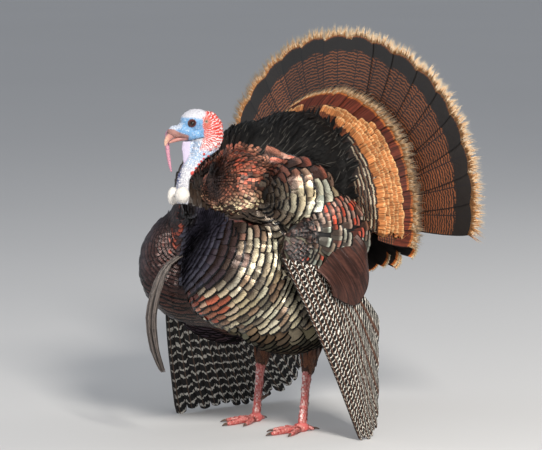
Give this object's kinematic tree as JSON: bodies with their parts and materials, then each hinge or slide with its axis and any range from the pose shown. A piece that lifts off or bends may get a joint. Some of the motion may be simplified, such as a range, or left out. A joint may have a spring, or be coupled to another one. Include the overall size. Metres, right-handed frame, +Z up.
{
  "type": "wild turkey",
  "caption": "Life-size wild turkey gobbler in full strut: raised barred tail fan, puffed bronze plumage, drooped wings, bare head with snood.",
  "frame": {"origin": "middle of the bounding box's base, on the floor the bird stands on", "axes": "+Z up; -Y the way the bird's body faces; +X to the bird's own left"},
  "size_m": [0.804, 0.6494, 0.894],
  "materials": {
    "bronze_plumage": "iridescent bronze feathers",
    "tail_feathers": "barred chestnut feathers",
    "barred_feathers": "black and white barred feathers",
    "bare_skin": "wrinkled bare skin",
    "caruncle_skin": "smooth swollen skin",
    "snood_skin": "wrinkled skin",
    "bill_horn": "satin horn",
    "claw_horn": "satin dark horn",
    "eye_surface": "wet gloss",
    "beard_bristle": "coarse bristles",
    "leg_scales": "scaly skin"
  },
  "bodies": {
    "root": {"trunk": "bronze_plumage", "thigh_left": "bronze_plumage", "thigh_right": "bronze_plumage", "tail_fan": "tail_feathers", "tail_coverts": "tail_feathers", "vent_feathers": "tail_feathers", "undertail_left": "tail_feathers", "undertail_right": "tail_feathers", "wing_left_arm": "barred_feathers", "wing_left_primaries": "barred_feathers", "wing_left_secondaries": "barred_feathers", "wing_right_arm": "barred_feathers", "wing_right_primaries": "barred_feathers", "wing_right_secondaries": "barred_feathers", "head": "bare_skin", "neck": "bare_skin", "throat": "bare_skin", "caruncle_left": "caruncle_skin", "caruncle_right": "caruncle_skin", "snood": "snood_skin", "bill_upper": "bill_horn", "bill_lower": "bill_horn", "eye_left": "eye_surface", "eye_right": "eye_surface", "beard": "beard_bristle", "shank_left": "leg_scales", "shank_right": "leg_scales", "foot_left": "leg_scales", "foot_right": "leg_scales", "claw_left_inner": "claw_horn", "claw_left_middle": "claw_horn", "claw_left_outer": "claw_horn", "claw_left_hind": "claw_horn", "claw_right_inner": "claw_horn", "claw_right_middle": "claw_horn", "claw_right_outer": "claw_horn", "claw_right_hind": "claw_horn", "spur_left": "claw_horn", "spur_right": "claw_horn"}
  },
  "joints": []
}
